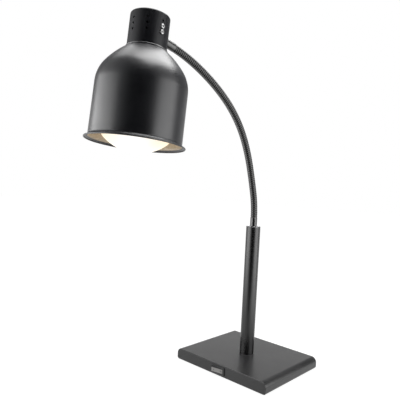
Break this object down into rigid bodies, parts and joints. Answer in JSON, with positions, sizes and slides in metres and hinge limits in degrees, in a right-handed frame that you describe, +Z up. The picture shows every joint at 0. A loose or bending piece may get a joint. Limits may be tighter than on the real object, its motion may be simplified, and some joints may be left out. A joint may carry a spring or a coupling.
{
  "type": "flexible food heat lamp",
  "caption": "Table-top food heat lamp: weighted box base with rocker switch, upright tube, bendable gooseneck and bell shade with vented neck over a reflector bulb.",
  "frame": {"origin": "on the table, under the middle of the base", "axes": "+Z up, +X along the base's long side, and the arm reaches towards -Y, the switch side"},
  "size_m": [0.246, 0.5484, 0.6913],
  "materials": {
    "base_paint": "satin",
    "post_paint": "satin",
    "shade_paint": "satin",
    "gooseneck_paint": "satin",
    "plated_steel": "satin",
    "ballast_iron": "matte",
    "screw_steel": "polished",
    "switch_bezel": "gloss",
    "switch_rocker": "satin",
    "gland_nylon": "satin",
    "foot_rubber": "matte",
    "seal_rubber": "matte",
    "terminal_plastic": "matte",
    "brass_parts": "satin",
    "lead_insulation": "matte",
    "lampholder_ceramic": "gloss",
    "bulb_glass": "gloss",
    "bulb_metal": "satin",
    "mount_glass": "gloss"
  },
  "bodies": {
    "root": {"base_cover": "base_paint", "base_pillars": "plated_steel", "bottom_plate": "base_paint", "ballast_blocks": "ballast_iron", "base_screws": "plated_steel", "rubber_feet": "foot_rubber", "switch_housing": "switch_bezel", "switch_terminals": "brass_parts", "gland_body": "gland_nylon", "gland_seal": "seal_rubber", "gland_cap": "gland_nylon", "gland_locknut": "gland_nylon", "terminal_block": "terminal_plastic", "terminal_screws": "plated_steel", "earth_stud": "brass_parts", "base_leads": "lead_insulation", "supply_leads": "lead_insulation", "post_tube": "post_paint", "post_foot_plug": "plated_steel", "post_top_plug": "plated_steel", "post_nipple": "brass_parts", "post_washer": "plated_steel", "post_nut": "brass_parts", "lower_ferrule": "gooseneck_paint", "gooseneck_section_1": "gooseneck_paint", "section_leads_1": "lead_insulation"},
    "rocker": {"switch_rocker": "switch_rocker"},
    "section_2": {"gooseneck_section_2": "gooseneck_paint", "section_leads_2": "lead_insulation"},
    "section_3": {"gooseneck_section_3": "gooseneck_paint", "section_leads_3": "lead_insulation"},
    "section_4": {"gooseneck_section_4": "gooseneck_paint", "section_leads_4": "lead_insulation"},
    "section_5": {"gooseneck_section_5": "gooseneck_paint", "section_leads_5": "lead_insulation"},
    "section_6": {"gooseneck_section_6": "gooseneck_paint", "section_leads_6": "lead_insulation"},
    "section_7": {"gooseneck_section_7": "gooseneck_paint", "section_leads_7": "lead_insulation"},
    "head": {"gooseneck_section_8": "gooseneck_paint", "section_leads_8": "lead_insulation", "upper_ferrule": "gooseneck_paint", "arm_block": "plated_steel", "arm_locknut": "brass_parts", "shade": "shade_paint", "neck_ring": "plated_steel", "shade_screws": "plated_steel", "neck_cup": "shade_paint", "holder_bracket": "plated_steel", "head_screws": "screw_steel", "lampholder": "lampholder_ceramic", "holder_screws": "plated_steel", "screw_shell": "brass_parts", "centre_contact": "brass_parts", "head_leads": "lead_insulation", "bulb_glass": "bulb_glass", "bulb_cap": "bulb_metal", "bulb_contact": "brass_parts", "filament_mount": "mount_glass"}
  },
  "joints": [
    {"name": "power_rocker", "type": "hinge", "parent": "root", "child": "rocker", "pos_m": [0, -0.098, 0.0135], "axis": [0, 0, -1], "range_deg": [0, 20]},
    {"name": "lower_bend", "type": "hinge", "parent": "root", "child": "section_2", "pos_m": [0, -0.00748, 0.39183], "axis": [1, 0, 0], "range_deg": [-14, 14]},
    {"name": "sway", "type": "hinge", "parent": "section_2", "child": "section_3", "pos_m": [0, -0.0238, 0.44539], "axis": [0, 0.9483, 0.3173], "range_deg": [-14, 14]},
    {"name": "lower_bend_2", "type": "hinge", "parent": "section_3", "child": "section_4", "pos_m": [0, -0.04566, 0.49688], "axis": [1, 0, 0], "range_deg": [-14, 14]},
    {"name": "sway_2", "type": "hinge", "parent": "section_4", "child": "section_5", "pos_m": [0, -0.0773, 0.54292], "axis": [0, 0.749, 0.6626], "range_deg": [-14, 14]},
    {"name": "upper_bend", "type": "hinge", "parent": "section_5", "child": "section_6", "pos_m": [0, -0.11871, 0.58046], "axis": [1, 0, 0], "range_deg": [-14, 14]},
    {"name": "sway_3", "type": "hinge", "parent": "section_6", "child": "section_7", "pos_m": [0, -0.16623, 0.60999], "axis": [0, 0.4664, 0.8846], "range_deg": [-14, 14]},
    {"name": "upper_bend_2", "type": "hinge", "parent": "section_7", "child": "head", "pos_m": [0, -0.21722, 0.63306], "axis": [1, 0, 0], "range_deg": [-14, 14]}
  ],
  "couplings": [
    {"joint": "lower_bend_2", "follows": "lower_bend", "ratio": 1},
    {"joint": "sway_2", "follows": "sway", "ratio": 1},
    {"joint": "sway_3", "follows": "sway", "ratio": 1},
    {"joint": "upper_bend_2", "follows": "upper_bend", "ratio": 1}
  ]
}
